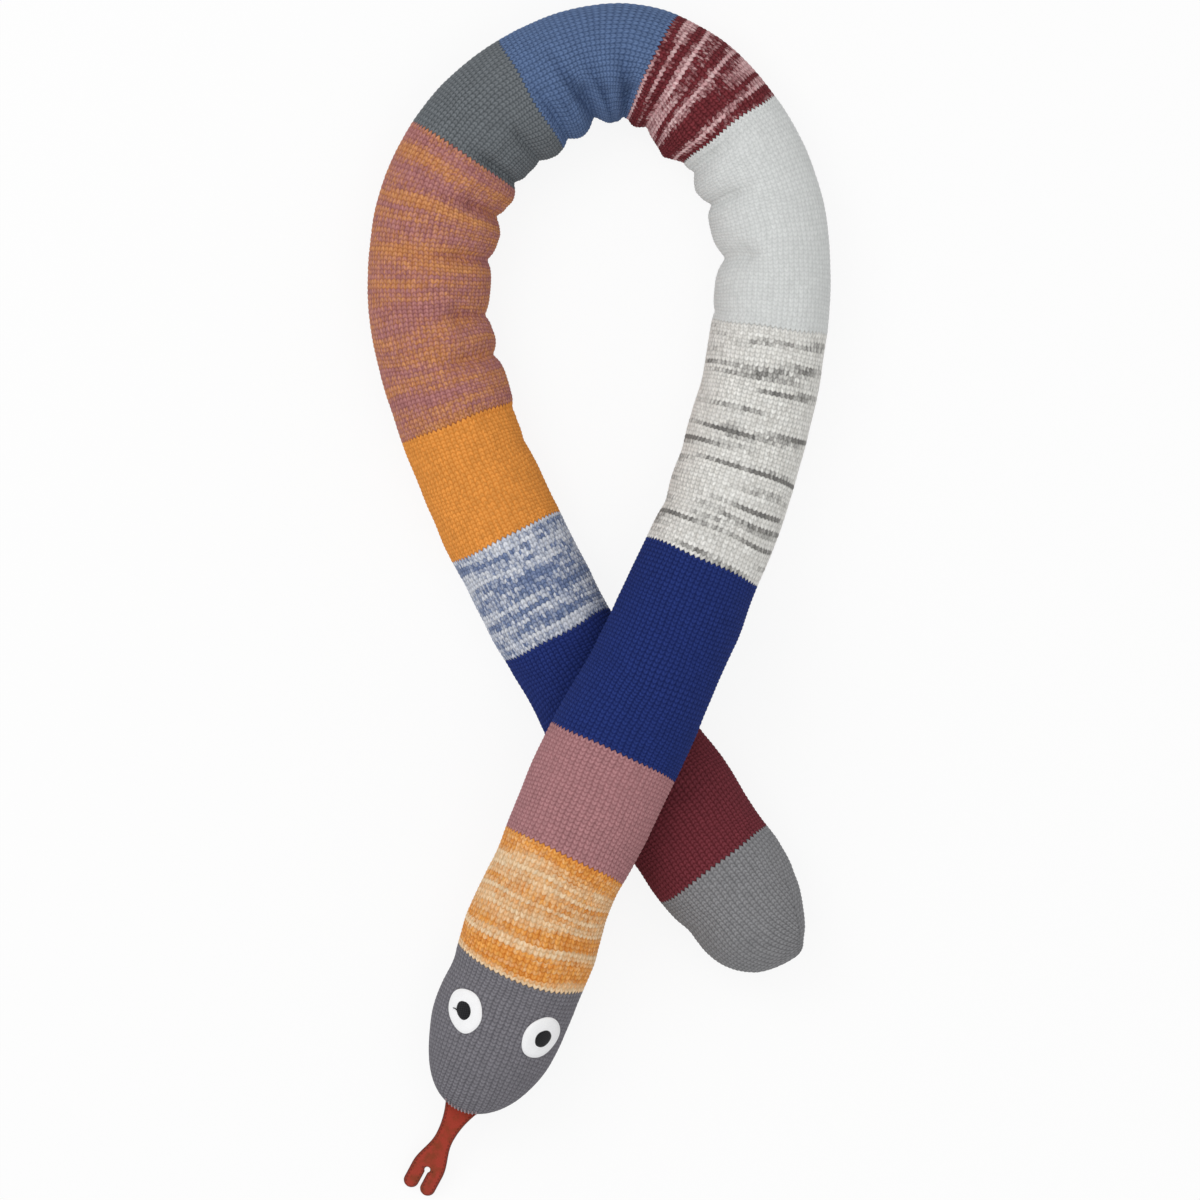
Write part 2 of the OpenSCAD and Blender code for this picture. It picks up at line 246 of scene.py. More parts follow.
def end_share(s):
    """Share of the full section that is left where the nose and the tail end round off."""
    nose = np.clip((NOSE - s) / NOSE, 0, 1)
    tail = np.clip((s - BODY + TAIL_END) / TAIL_END, 0, 1)
    return np.sqrt(np.maximum(0, 1 - nose ** 2)) * np.sqrt(np.maximum(0, 1 - tail ** 2))


def tail_lean(s):
    """How far the tail end is drawn to the inside of the bends."""
    last = np.clip((s - BODY + TIP_REACH) / TIP_REACH, 0, 1)
    return TIP_SHIFT * last ** 2 - BACK_SHIFT * hump(s, BODY - BACK_FROM_END, BACK_REACH)


def dents(s, side, places):
    """Depth of a list of folds at length s, fading from the inside of the bends over the top."""
    depth = np.zeros_like(s)
    for at, deep, wide, over in places:
        fade = np.clip((side + over - 0.55) / over, 0, 1) ** 1.5
        depth += deep * fade * np.exp(-np.abs((s - at) / wide) ** 1.35)
    return depth


def gathered(s, side):
    """How far the folds draw in the inside of the bends, less how far its lobes swell."""
    lobe = np.clip(np.minimum(s - LOBES[0], LOBES[1] - s) / LOBE_RAMP, 0, 1)
    return dents(s, side, FOLDS) - LOBE_DEPTH * lobe * np.clip(side, 0, 1) ** 2


def hollow(s, side):
    """How far the slow hollows shift the sides across the body."""
    shift = np.zeros_like(s)
    for at, deep, wide, towards in HOLLOWS:
        shift += towards * deep * np.clip(side * towards, 0, 1) ** 1.3 * bell(s, at, wide)
    return shift


# Fourteen waves along and round the body: length, number of turns and phase.
RANDOM = np.random.default_rng(7)
WAVES = [(RANDOM.uniform(24, 90), int(RANDOM.integers(1, 6)), RANDOM.uniform(0, 6.28))
         for _ in range(14)]


def lumps(s, a):
    """A slow unevenness: the sum of the waves, about 1 at most."""
    return sum(np.sin(2 * np.pi * s / wave + turns * a + phase)
               for wave, turns, phase in WAVES) / 5


def soft_lumps(s, a):
    """How far the filling lifts the cover: less near the floor, and least at the crossing."""
    pressed = np.maximum(hump(s, UNDER, FIRM_REACH), hump(s, OVER, FIRM_REACH))
    off_floor = np.clip(np.sin(a) + 0.8, 0, 1)
    return UNEVEN_FILLING * lumps(s, a) * end_share(s) * off_floor * (1 - 0.8 * pressed)


def form(s, a):
    """Points of the stuffed body at length s and angle a round it; angle 0 is the bends' inside."""
    at, way = place(s)
    share = end_share(s)
    side, up = np.cos(a), np.sin(a)
    soft = soft_lumps(s, a)
    wide, tall = along(s, WIDTHS) + soft, half_height(s, up) + soft
    gather = gathered(s, side)
    x = share * side * wide - gather * np.clip(side + 0.4, 0, 1) - share * hollow(s, side)
    x += tail_lean(s)
    slanted = s - CREASE_SLANT * hump(s, CREASE_SLANT_AT, CREASE_SLANT_FADE) * (1 - side)
    sunk = FOLD_SINK * np.maximum(gather, 0) + dents(slanted, side, CREASES)
    z = share * up * tall - sunk * np.clip(up, 0, 1)
    z = np.maximum(z, -low_height(s) * BELLY)
    tilt = tilt_at(s)
    return np.stack([at[..., 0] - way[..., 1] * x - way[..., 0] * z * np.sin(tilt),
                     at[..., 1] + way[..., 0] * x - way[..., 1] * z * np.sin(tilt),
                     middle_height(s) + z * np.cos(tilt)], -1)


def surface(s, a):
    """
    The knitted surface, where s follows the courses and a the wales.

    On the ramps the courses stay straight as seen from above. They stray a little everywhere, bow
    at the head's colour change and slant at the denim band's.
    """
    up = np.sin(a)
    upright = up * half_height(s, up) * np.sin(tilt_at(s))
    bow = BOW * np.clip(up, 0, 1) ** 1.5 * bell(s, BOW_AT, BOW_FADE)
    stray = COURSE_DRIFT * end_share(s) * lumps(0.8 * s + 40, a)
    slant = SLANT * (np.cos(a) - SLANT_PIVOT) / 2 * bell(s, SLANT_AT, SLANT_FADE)
    return form(s + upright - (bow - stray) + slant, a)


def wale_angle(s, u, stray=1.0):
    """Angle round the body of a place counted in wales from its underside, with their straying."""
    drift = WALE_DRIFT * lumps(1.7 * s, 2 * np.pi * u / WALES)
    return -np.pi / 2 + 2 * np.pi * (u + drift * stray) / WALES


# Meshes

def add_object(name, data):
    thing = bpy.data.objects.new(name, data)
    bpy.context.scene.collection.objects.link(thing)
    return thing


def new_object(name, mesh, material):
    mesh.shade_smooth()
    mesh.materials.append(material)
    return add_object(name, mesh)


def add_uv(mesh, name, values):
    """A UV map with one pair of values to each corner of each face."""
    layer = mesh.uv_layers.new(name=name)
    layer.data.foreach_set("uv", np.asarray(values).astype(np.float32).ravel())


def normals(grid):
    """Outward unit normals of a grid of points: rows along the body, columns round it."""
    across = np.roll(grid, -1, 1) - np.roll(grid, 1, 1)
    down = np.gradient(grid, axis=0)
    n = np.cross(across, down)
    return n / np.maximum(np.linalg.norm(n, axis=-1, keepdims=True), 1e-9)


def stitch_height(u, v):
    """Height of the yarn: about 0 in the hole between four stitches, 1 on a stitch's leg."""
    p = u % 1
    leg = 1 - np.abs((2 * p) % 1 * 2 - 1)
    middle = 1 - np.abs(2 * p - 1)
    across = np.maximum(leg, LEG_GAP * (middle > 0.75))
    between = np.minimum(1, 1.5 - 1.5 * np.abs(2 * (v % 1) - 1))
    own = RANDOM.uniform(-UNEVEN, UNEVEN, (int(v.max()) + 2, 2 * WALES))
    stitch = (WALE_GAP + (1 - WALE_GAP) * across) * (COURSE_GAP + (1 - COURSE_GAP) * between)
    return stitch + own[v.astype(int), (2 * u).astype(int) % (2 * WALES)]


def tube_squares(rows, columns):
    """The squares of a tube's grid, whose last column meets its first."""
    r, c = np.meshgrid(np.arange(rows - 1) * columns, np.arange(columns), indexing="ij")
    right = (c + 1) % columns
    return np.stack([r + c, r + right, r + columns + right, r + columns + c], -1)


def mesh_piece(name, grid, u, v, material, drop=0.0):
    """A closed mesh from a tube of points, less squares under an area; its UVs count stitches."""
    rows, columns = grid.shape[:2]
    points = grid.reshape(-1, 3)
    squares = tube_squares(rows, columns)
    from_left = u.ravel()[squares[..., :1]] + np.array([0, 1, 1, 0]) / COLUMNS
    counts = np.stack([from_left, v.ravel()[squares]], -1)
    a, b, d, e = (points[squares[..., i]] for i in range(4))
    keep = np.linalg.norm(np.cross(d - a, e - b), axis=-1) / 2 > drop
    loops = [squares[keep].ravel()]
    uvs = [counts[keep].reshape(-1, 2)]
    hubs = []
    for end, row in enumerate((0, rows - 1)):
        ring = row * columns + np.arange(columns)
        hub = np.full(columns, rows * columns + end)
        fan = [hub, np.roll(ring, -1), ring] if end == 0 else [hub, ring, np.roll(ring, -1)]
        loops.append(np.stack(fan, -1).ravel())
        uvs.append(np.stack([np.repeat(u[row], 3), np.full(3 * columns, v[row, 0])], -1))
        hubs.append(grid[abs(row - HUB_DEPTH)].mean(0))
    points = np.vstack([points, hubs])
    used, index = np.unique(np.concatenate(loops), return_inverse=True)
    sizes = [4] * int(keep.sum()) + [3] * (2 * columns)
    starts = np.concatenate([[0], np.cumsum(sizes)[:-1]])
    mesh = bpy.data.meshes.new(name)
    mesh.vertices.add(len(used))
    mesh.vertices.foreach_set("co", (points[used] * MM).astype(np.float32).ravel())
    mesh.loops.add(index.size)
    mesh.loops.foreach_set("vertex_index", index.astype(np.int32).ravel())
    mesh.polygons.add(len(sizes))
    mesh.polygons.foreach_set("loop_start", starts.astype(np.int32))
    add_uv(mesh, "knit", np.vstack(uvs))
    mesh.update(calc_edges=True)
    mesh.validate()
    return new_object(name, mesh, material)


def chevron(u):
    """How far a stitch's point leads its row, in millimetres: the V points towards the head."""
    return CHEVRON * (np.abs(2 * (u % 1) - 1) - 0.5)


def teeth(courses_off):
    """How much longer the Vs stand, some courses away from a colour change."""
    return 1 + TEETH * np.exp(-courses_off)


def stitch_grid(courses):
    """Wale and course counts at each point of a knitted tube."""
    v, u = np.meshgrid(np.arange(courses * ROWS + 1) / ROWS, np.arange(WALES * COLUMNS) / COLUMNS,
                       indexing="ij")
    return u, v


def knit_band(name, start, end, material):
    """A tube of stitches between two colour changes, from one row of V points to another."""
    courses = round((end - start) / COURSE)
    u, v = stitch_grid(courses)
    row = start + (end - start) * v / courses
    s = row + chevron(u) * teeth(np.minimum(v, courses - v))
    base = surface(s, wale_angle(s, u))
    grid = base - normals(base) * (RELIEF * (1 - stitch_height(u, v)))[..., None]
    return mesh_piece(name, grid, u, v, material)


def end_profile(rounding, length):
    """The profile of a closed end: length along it from the tip, and along the body."""
    theta = np.linspace(0, np.pi / 2, 400)
    away = np.concatenate([rounding * (1 - np.cos(theta)), [rounding + 1, length]])
    tall = END_RISE * np.concatenate([np.sin(theta), [1, 1]])
    path = np.concatenate([[0], np.cumsum(np.hypot(np.diff(away), np.diff(tall)))])
    return path, away


def decreased(u, share, turn):
    """
    Wale counts where the section has shrunk to a share, and where a wale has run out.

    The wales of the top and of the underside stay parallel, and run out one by one along two lines
    of decreases at the sides, which are turned about the body by some wales.
    """
    quarter = WALES / 4
    shifted = (u - turn) % WALES
    top = (shifted > quarter) & (shifted < 3 * quarter)
    offset = np.where(top, shifted - 2 * quarter, (shifted + 2 * quarter) % WALES - 2 * quarter)
    reach = np.clip(offset / share, -quarter, quarter)
    counted = np.where(top, 2 * quarter + reach, reach) + turn
    return counted, np.abs(reach) >= quarter


def knit_end(name, tip, edge, rounding, turn, material):
    """A closed end, from its tip to its colour change, rounded over some length."""
    sign = 1 if edge > tip else -1
    path, away = end_profile(rounding, abs(edge - tip))
    courses = round(path[-1] / COURSE)
    u, v = stitch_grid(courses)
    first = v if sign > 0 else courses - v
    run = first / courses * path[-1] + sign * chevron(u) * teeth(courses - first)
    run = np.clip(run, TIP_GAP, None)
    s = tip + sign * (np.interp(run, path, away) + np.maximum(run - path[-1], 0))
    share = np.maximum(end_share(s), 1e-4)
    counted, run_out = decreased(u, share, turn)
    base = surface(s, wale_angle(s, counted, share))
    outward = normals(surface(s, -np.pi / 2 + 2 * np.pi * u / WALES))
    own = normals(base)
    own = np.where(np.sum(own * outward, -1, keepdims=True) < 0, outward, own)
    height = np.where(run_out, DECREASE_HEIGHT, stitch_height(u, v))
    grid = base - own * (RELIEF * (1 - height))[..., None]
    return mesh_piece(name, grid, u, v, material, drop=SLIVER)


def make_body(materials):
    """All the knitted pieces from the nose to the tail end."""
    made = {}
    for name in NAMES[1:-1]:
        made[name] = knit_band(name + "_knit", STARTS[name], end_of(name), materials[name])
    head, tail = NAMES[0], NAMES[-1]
    made[head] = knit_end("head_knit", 0, end_of(head), NOSE, 0, materials[head])
    made[tail] = knit_end("tail_knit", BODY, STARTS[tail], TAIL_END, TAIL_TURN, materials[tail])
    return made


def weld(mesh, near):
    """Joins points that lie together and closes what is left open."""
    b = bmesh.new()
    b.from_mesh(mesh)
    bmesh.ops.remove_doubles(b, verts=b.verts, dist=near)
    bmesh.ops.dissolve_degenerate(b, edges=b.edges, dist=near)
    bmesh.ops.holes_fill(b, edges=[e for e in b.edges if e.is_boundary], sides=0)
    bmesh.ops.recalc_face_normals(b, faces=b.faces)
    b.to_mesh(mesh)
    b.free()


def sewn_piece(name, points, faces, material, near=0.00002, **maps):
    """A welded piece from points, squares, and UV maps that give a pair of values to each point."""
    mesh = bpy.data.meshes.new(name)
    mesh.from_pydata((points.reshape(-1, 3) * MM).tolist(), [], faces.tolist())
    for key, values in maps.items():
        add_uv(mesh, key, values.reshape(-1, 2)[faces.ravel()])
    weld(mesh, near)
    return new_object(name, mesh, material)


def ring_piece(name, grid, x, y, material, **how):
    """A piece from rows of closed rings, with the places x and y in centimetres as its UV map."""
    faces = tube_squares(*x.shape).reshape(-1, 4)
    return sewn_piece(name, grid, faces, material, felt=np.stack([x, y], -1) / 10, **how)


# The eyes

# Each oval: distance from the nose, how far to the left of the middle, turn, length and width.
WHITES = {"left": (69.4, 24.7, 31, 32, 24.2), "right": (72.8, -32.2, -16, 33, 22.8)}
PUPILS = {"left": (69.4, 25.1, 31, 13.3, 9.9), "right": (72.6, -33.1, -16, 13.4, 9.4)}
# How far the patch lies over the knitting, its thickness, how uneven its outline is, and how deep
# its sewing stitches pull.
WHITE_BUILD = (0.15, 1.8, 0.018, 0.35)
PUPIL_BUILD = (1.9, 1.1, 0.02, 0.15)
SEWING_STITCHES = 40
# Rings of points, as shares of the way to the edge: over the top, then back under it.
TOP_RINGS = np.concatenate([np.linspace(0.02, 0.86, 16), np.linspace(0.89, 1, 8)])
UNDER_RINGS = np.linspace(0.97, 0.05, 6)
SPOKES = 96
# The loose end of thread: rings round the left pupil, as shares of its size, the spokes that they
# are divided by, the spoke on each ring that it passes, its height over the knitting, and radius.
TICK_RINGS, TICK_SPOKES, TICK_PATH = (0.85, 1.15, 1.5), 24, (6, 5, 5)
TICK_HEIGHT, TICK_RADIUS = 2.4, 0.4
# Where the search starts for a spot's place along the body.
EYES_AT = 70.0


def in_plan(at, turn, x, y):
    """Places in the plan, from x and y in a frame that starts at a place and is turned."""
    return np.stack([at[0] + x * math.cos(turn) - y * math.sin(turn),
                     at[1] + x * math.sin(turn) + y * math.cos(turn)], -1)


def over_head(spots, height):
    """Points at a height over the head's surface, above places in the plan."""
    s = np.full(spots.shape[:-1], EYES_AT)
    for _ in range(8):
        at, way = place(s)
        s = s + np.sum((spots - at) * way, -1)
    at, way = place(s)
    x = ((at[..., 0] - spots[..., 0]) * way[..., 1]
         + (spots[..., 1] - at[..., 1]) * way[..., 0])
    a = np.arccos(np.clip(x / (end_share(s) * along(s, WIDTHS)), -0.98, 0.98))
    base = form(s, a)
    n = np.cross(form(s, a + 0.02) - form(s, a - 0.02), form(s + 1, a) - form(s - 1, a))
    n = n / np.linalg.norm(n, axis=-1, keepdims=True)
    return base + n * height[..., None]


def oval(spec, rings, spokes, wobble=0.0):
    """Places in the plan of an oval on the head, and their shares of the way out, x and y in it."""
    back, out, lean, length, width = spec
    at, way = place(np.array(float(back)))
    middle = at + np.array([-way[1], way[0]]) * out
    turn = math.atan2(way[1], way[0]) + math.radians(lean)
    share, angle = np.meshgrid(rings, 2 * np.pi * np.arange(spokes) / spokes, indexing="ij")
    edge = 1 + wobble * np.sin(3 * angle + lean) + 0.6 * wobble * np.sin(5 * angle)
    x = share * edge * length / 2 * np.cos(angle)
    y = share * edge * width / 2 * np.sin(angle)
    return in_plan(middle, turn, x, y), share, x, y


def patch(name, spec, build, material):
    """A soft oval patch sewn on the head: domed top, rounded edge drawn down by the stitches."""
    low, thick, wobble, pull = build
    rings = np.concatenate([TOP_RINGS, UNDER_RINGS])
    spots, share, x, y = oval(spec, rings, SPOKES, wobble)
    over = np.arange(len(rings))[:, None] < len(TOP_RINGS)
    crown = thick * np.sqrt(np.maximum(0, 1 - share ** 7)) * (1 + 0.08 * np.cos(share * 3))
    sewing = 0.5 + 0.5 * np.cos(np.arctan2(y, x) * SEWING_STITCHES)
    height = np.where(over, low + crown - pull * bell(share, 0.93, 0.03) * sewing, low * 0.3)
    return ring_piece(name, over_head(spots, height), x, y, material)


def thread(name, path, radius, material, steps=13, sides=8):
    """A short piece of yarn along a few points, with round ends."""
    path = np.array(path, float)
    t = np.linspace(0, 1, steps)
    knots = np.linspace(0, 1, len(path))
    line = np.stack([np.interp(t, knots, path[:, i]) for i in range(3)], -1)
    size = radius * np.sqrt(np.maximum(0.0004, 1 - np.abs(2 * t - 1) ** 6))
    way = np.gradient(line, axis=0)
    way /= np.linalg.norm(way, axis=-1, keepdims=True)
    side = np.cross(way, [0.0, 0.0, 1.0])
    side /= np.maximum(np.linalg.norm(side, axis=-1, keepdims=True), 1e-6)
    up = np.cross(side, way)
    angle = 2 * np.pi * np.arange(sides) / sides
    ring = side[:, None] * np.cos(angle)[:, None] + up[:, None] * np.sin(angle)[:, None]
    x, y = np.meshgrid(t * 10, angle, indexing="ij")
    grid = line[:, None] + ring * size[:, None, None]
    return ring_piece(name, grid, x, y, material, near=0.000005)


def make_eyes(m):
    """Two felt ovals with yarn pupils, and the loose end of thread at the left pupil."""
    made = {}
    for eye in WHITES:
        made[eye + "_eye_white"] = patch(eye + "_eye_felt", WHITES[eye], WHITE_BUILD, m["felt"])
        made[eye + "_pupil"] = patch(eye + "_pupil_yarn", PUPILS[eye], PUPIL_BUILD, m["pupil"])
    spots, share, _, _ = oval(PUPILS["left"], np.array(TICK_RINGS), TICK_SPOKES)
    rings = over_head(spots, np.full(share.shape, TICK_HEIGHT))
    path = [ring[spoke] for ring, spoke in zip(rings, TICK_PATH)]
    made["tick"] = thread("left_pupil_thread", path, TICK_RADIUS, m["pupil"])
    return made


# The tongue

TONGUE_LENGTH, ROOT_WIDTH, WAIST_WIDTH, FORK_WIDTH = 71, 25, 13.5, 24.5
WAIST_AT, FORK_AT, FORK_GAP, NOTCH_WIDTH = 26, 51, 2.2, 4.2
PRONG_RADIUS = (FORK_WIDTH - FORK_GAP) / 4
PRONG_OUT = FORK_WIDTH / 2 - PRONG_RADIUS
TONGUE_THICK, MOUTH_HEIGHT, TIP_HEIGHT = 3, 30, 3
# The mouth's distance from the nose, the tongue's turn to one side, and how far it is sewn in.
MOUTH_AT, TONGUE_TURN, TONGUE_IN = 2.5, 4.5, 4.5
# The felt's edge is rounded over this width, and its line of stitches is sunk: how far in from the
# edge, how wide and how deep.
SOFT_EDGE = 1.6
LINE_IN, LINE_WIDTH, LINE_DEPTH = 2.4, 0.5, 0.25
TONGUE_COLUMNS = 18

# The stitches over the mouth: how many, how far apart, their radius and how far they are sunk.
MOUTH_STITCHES, STITCH_GAP, STITCH_RADIUS, STITCH_SUNK = 10, 2.6, 0.5, 0.35
# Each one's points: height over the floor, and how far it leans to the left.
STITCH_POINTS = [(44, -0.5), (47, -0.1), (50, 0.2), (53, 0.6)]
# The nose's middle height and its half width.
NOSE_MIDDLE, NOSE_HALF_WIDTH = 41.5, 49


def tongue_edges(x):
    """Outer and inner edge of one half of the tongue at distances from the mouth."""
    root = (WAIST_WIDTH + (ROOT_WIDTH - WAIST_WIDTH) * np.clip(1 - x / WAIST_AT, 0, 1.2) ** 2) / 2
    swell = 1 - hump(x, WAIST_AT, FORK_AT + NOTCH_WIDTH / 2 - WAIST_AT)
    outer = np.where(x < WAIST_AT, root, (WAIST_WIDTH + (FORK_WIDTH - WAIST_WIDTH) * swell) / 2)
    round_from = TONGUE_LENGTH - PRONG_RADIUS
    half = np.sqrt(np.maximum(0, PRONG_RADIUS ** 2 - np.maximum(0, x - round_from) ** 2))
    outer = np.where(x > round_from, PRONG_OUT + half, outer)
    radius = NOTCH_WIDTH / 2
    notch = np.sqrt(np.maximum(0, radius ** 2 - (x - FORK_AT - radius) ** 2))
    slit = np.where(x > FORK_AT + radius, np.maximum(notch, FORK_GAP / 2), notch)
    inner = np.where(x > round_from, PRONG_OUT - half, np.where(x < FORK_AT, 0, slit))
    return outer, inner


def tongue_lengths():
    """Distances from the mouth, close together round the notch and the tips."""
    tip = TONGUE_LENGTH - PRONG_RADIUS + PRONG_RADIUS * np.sin(np.linspace(0, np.pi / 2, 12))
    notch = FORK_AT + NOTCH_WIDTH / 2 * (1 - np.cos(np.linspace(0, np.pi / 2, 7)))
    return np.concatenate([np.arange(-TONGUE_IN, FORK_AT, 1.0), notch,
                           np.arange(notch[-1] + 0.8, tip[0], 0.9), tip])


def tongue_plan():
    """Distances from the mouth, from the tongue's middle and from its rim, of one half's points."""
    lengths = tongue_lengths()
    outer, inner = (edge[:, None] for edge in tongue_edges(lengths))
    x = np.repeat(lengths[:, None], TONGUE_COLUMNS + 1, 1)
    share = (1 - np.cos(np.linspace(0, np.pi, TONGUE_COLUMNS + 1))) / 2
    in_prong = inner + (outer - inner) * share
    in_root = outer * np.sin(share * np.pi / 2)
    forked = x > FORK_AT - 0.01
    y = np.where(forked, in_prong, in_root)
    rim = np.where(forked, np.minimum(outer - y, y - inner), outer - y)
    return x, y, rim


def make_tongue(material):
    """A flat forked tongue with soft edges, hanging from the mouth to the floor."""
    x, y, rim = tongue_plan()
    near = np.minimum(rim / SOFT_EDGE, 1)
    thick = TONGUE_THICK / 2 * np.sqrt(np.maximum(0, 1 - (1 - near) ** 2))
    thick = thick - LINE_DEPTH * bell(rim, LINE_IN, LINE_WIDTH) * (near == 1)
    drop = (np.maximum(0, x) / TONGUE_LENGTH) ** 1.5
    middle = MOUTH_HEIGHT - (MOUTH_HEIGHT - TIP_HEIGHT) * drop
    at, way = place(np.array(MOUTH_AT))
    turn = math.atan2(way[1], way[0]) + math.pi - math.radians(TONGUE_TURN)
    rows, columns = x.shape
    k = np.arange(rows - 1)[:, None] * columns + np.arange(columns - 1)
    squares = np.stack([k, k + 1, k + columns + 1, k + columns], -1).reshape(-1, 4)
    points, flat, rims, faces = [], [], [], []
    for half in (1, -1):
        wave = 0.4 * np.sin(x / 7) * (y * half / 12)
        for face_up in (1, -1):
            faces.append((squares if half == face_up else squares[:, ::-1]) + len(points) * x.size)
            height = middle + face_up * thick + wave
            spots = in_plan(at, turn, x, half * y)
            points.append(np.concatenate([spots, height[..., None]], -1))
            flat.append(np.stack([x, half * y], -1) / 10)
            rims.append(np.stack([rim / 10, np.full(x.shape, face_up)], -1))
    return sewn_piece("forked_tongue", np.vstack(points), np.vstack(faces), material,
                      felt=np.vstack(flat), rim=np.vstack(rims))


def make_mouth_stitches(material):
    """A short row of yarn stitches over the nose, where the tongue is sewn in."""
    nose = place(np.array(0.0))[0]
    way = place(np.array(MOUTH_AT))[1]
    left = np.array([-way[1], way[0]])
    pieces = []
    for k in range(MOUTH_STITCHES):
        out = (k - (MOUTH_STITCHES - 1) / 2) * STITCH_GAP
        path = []
        for z, shift in STITCH_POINTS:
            share = math.hypot(out / NOSE_HALF_WIDTH, (z - NOSE_MIDDLE) / NOSE_MIDDLE)
            back = NOSE * (1 - math.sqrt(1 - share ** 2)) - STITCH_SUNK
            spot = nose + way * back + left * (out + shift)
            path.append((spot[0], spot[1], z))
        pieces.append(thread("mouth_stitch_%d" % (k + 1), path, STITCH_RADIUS, material))
    for piece in pieces[1:]:
        piece.parent = pieces[0]
    return pieces


# Materials

FUZZ_ROUGHNESS, SHINE = 0.5, 0.12


def colour(code):
    """A colour written as the eye sees it, such as "#D5AC81", for a shader."""
    parts = [int(code[i:i + 2], 16) / 255 for i in (1, 3, 5)]
    linear = [c / 12.92 if c <= 0.04045 else ((c + 0.055) / 1.055) ** 2.4 for c in parts]
    return (*linear, 1)


class Yarn:
    """The nodes of a material; u counts wales and v courses, or both count centimetres of felt."""

    def __init__(self, name, rough=0.9, sheen=0.3, uv="knit", fuzz="#FFFFFF"):
        self.material = bpy.data.materials.new(name)
        self.material.use_nodes = True
        self.tree = self.material.node_tree
        self.shader = self.tree.nodes["Principled BSDF"]
        for socket, value in (("Roughness", rough), ("Sheen Weight", sheen),
                              ("Sheen Roughness", FUZZ_ROUGHNESS), ("Sheen Tint", colour(fuzz)),
                              ("Specular IOR Level", SHINE)):
            self.shader.inputs[socket].default_value = value
        self.u, self.v = self.uv_parts(uv)

    def uv_parts(self, uv):
        source = self.tree.nodes.new("ShaderNodeUVMap")
        source.uv_map = uv
        split = self.node("ShaderNodeSeparateXYZ", Vector=source.outputs["UV"])
        return split.outputs[0], split.outputs[1]

    def node(self, kind, **inputs):
        made = self.tree.nodes.new(kind)
        for key, value in inputs.items():
            self.put(value, made.inputs[key.replace("_", " ")])
        return made

    def put(self, value, socket):
        if hasattr(value, "links"):
            self.tree.links.new(value, socket)
        else:
            socket.default_value = value

    def math(self, operation, a, b=0.0, c=0.0, clamp=False):
        made = self.tree.nodes.new("ShaderNodeMath")
        made.operation = operation
        made.use_clamp = clamp
        for value, socket in zip((a, b, c), made.inputs):
            self.put(value, socket)
        return made.outputs[0]

    def times(self, a, b):
        return self.math("MULTIPLY", a, b)

    def scaled(self, value, times, plus, clamp=False):
        return self.math("MULTIPLY_ADD", value, times, plus, clamp)

    def either_way(self, value, size):
        """A value from 0 to 1, turned into a change of up to half the size either way."""
        return self.scaled(value, size, -size / 2)

    def vector(self, x, y, z=0.0):
        return self.node("ShaderNodeCombineXYZ", X=x, Y=y, Z=z).outputs[0]

    def grey(self, value):
        return self.node("ShaderNodeCombineColor", Red=value, Green=value, Blue=value).outputs[0]

    def mix(self, share, a, b, blend="MIX"):
        made = self.tree.nodes.new("ShaderNodeMix")
        made.data_type = "RGBA"
        made.blend_type = blend
        self.put(share, made.inputs[0])
        self.put(a, made.inputs[6])
        self.put(b, made.inputs[7])
        return made.outputs[2]

    def ramp(self, value, stops):
        made = self.tree.nodes.new("ShaderNodeValToRGB")
        made.color_ramp.interpolation = "LINEAR"
        while len(made.color_ramp.elements) < len(stops):
            made.color_ramp.elements.new(0.5)
        for element, (at, level) in zip(made.color_ramp.elements, stops):
            element.position = at
            element.color = (level, level, level, 1)
        self.put(value, made.inputs[0])
        return made.outputs[0]

    def zigzag(self, value):
        """0 at whole numbers and 1 half way between them."""
        return self.times(self.math("PINGPONG", value, 0.5), 2.0)

    def noise(self, vector, scale, detail=1.0):
        made = self.node("ShaderNodeTexNoise", Vector=vector, Scale=scale, Detail=detail)
        return made.outputs["Fac"]

    def chance(self, x, y, seed):
        """A number from 0 to 1 for each whole step of x and y."""
        spot = self.vector(self.math("FLOOR", x), self.math("FLOOR", y), seed)
        return self.node("ShaderNodeTexWhiteNoise", Vector=spot).outputs["Value"]

    def legs(self):
        """Counts the legs of the stitches round the body, two to a wale."""
        return self.times(self.u, 2.0)

    def finish(self, base, tone, height, strength, distance):
        """Gives the shader its colour, times a tone, and its bump, and returns the material."""
        if tone is not None:
            base = self.mix(1.0, base, self.grey(tone), "MULTIPLY")
        self.put(base, self.shader.inputs["Base Color"])
        bump = self.node("ShaderNodeBump", Strength=strength, Distance=distance, Height=height)
        self.put(bump.outputs[0], self.shader.inputs["Normal"])
        return self.material


def stitches(y):
    """How high the yarn is: 0.25 in the hole between four stitches, 1 on top of a stitch."""
    wale, course = (y.math("SMOOTH_MIN", y.times(y.zigzag(count), 1.8), 1.0, 0.3)
                    for count in (y.u, y.v))
    wale = y.times(wale, y.scaled(y.zigzag(y.legs()), 0.4, 0.6))
    return y.times(y.scaled(wale, 0.5, 0.5), y.scaled(course, 0.5, 0.5))


